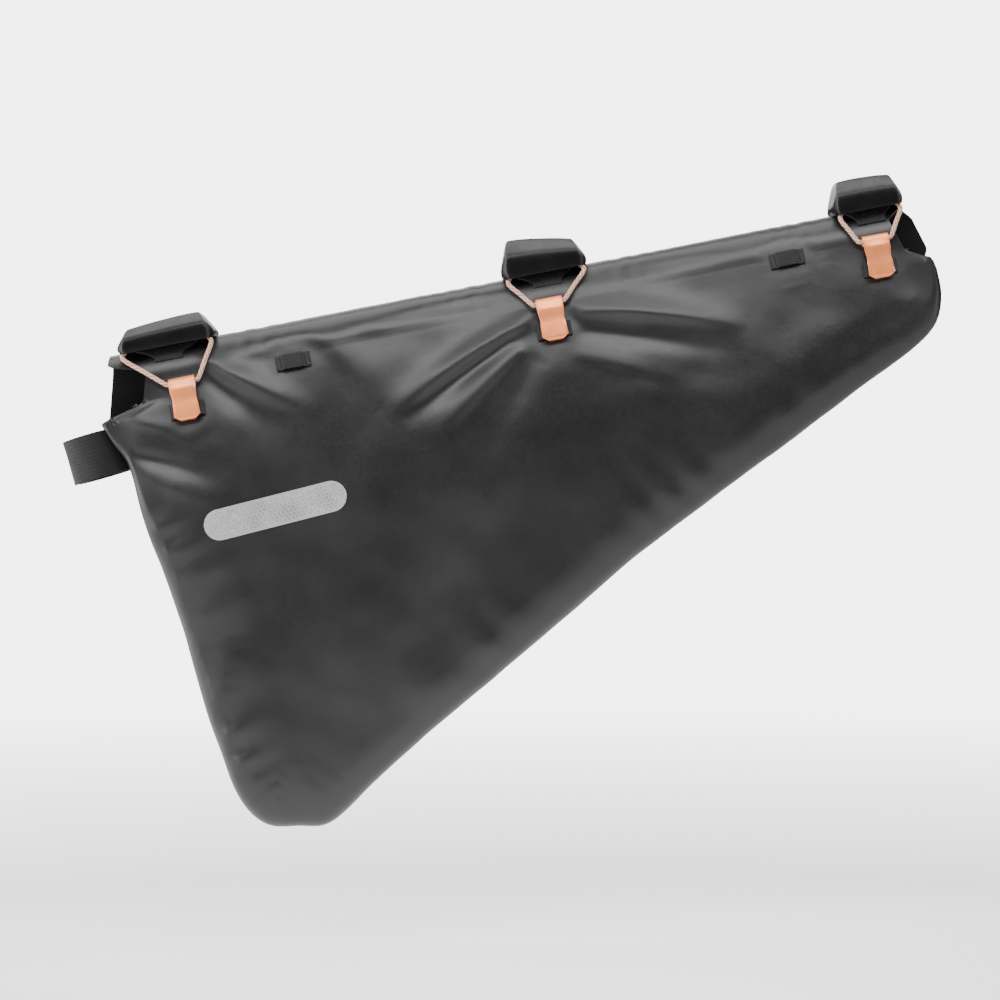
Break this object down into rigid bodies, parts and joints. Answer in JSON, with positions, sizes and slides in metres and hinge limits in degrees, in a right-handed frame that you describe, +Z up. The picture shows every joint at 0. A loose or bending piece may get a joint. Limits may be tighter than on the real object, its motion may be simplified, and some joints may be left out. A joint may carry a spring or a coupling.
{
  "type": "bicycle frame bag",
  "caption": "Soft triangular bag worn over a bicycle's top tube, closed by padded saddles with cords and metal hooks, with a strap for the seat tube.",
  "frame": {"origin": "on the axis of the top tube that the bag is worn on, just behind the middle saddle's centre", "axes": "+X forward along the bicycle, +Y away from the panel with the closures, +Z up as ridden; the top tube rises 11 degrees towards +X"},
  "size_m": [0.5293, 0.0692, 0.3939],
  "materials": {
    "coated_fabric": "matt coated cloth",
    "pad_rubber": "matt",
    "webbing": "woven",
    "orange_cord": "braided, reflective",
    "orange_metal": "anodised",
    "reflective_patch": "reflective film"
  },
  "bodies": {
    "root": {"cord_loop_front": "orange_cord", "cord_loop_middle": "orange_cord", "cord_loop_rear": "orange_cord", "free_loop_front": "webbing", "free_loop_rear": "webbing", "hook_front": "orange_metal", "hook_loop_front": "webbing", "hook_loop_middle": "webbing", "hook_loop_rear": "webbing", "hook_middle": "orange_metal", "hook_rear": "orange_metal", "label_patch": "reflective_patch", "pouch": "coated_fabric", "saddle_pad_front": "pad_rubber", "saddle_pad_middle": "pad_rubber", "saddle_pad_rear": "pad_rubber", "seat_strap": "webbing"}
  },
  "joints": []
}
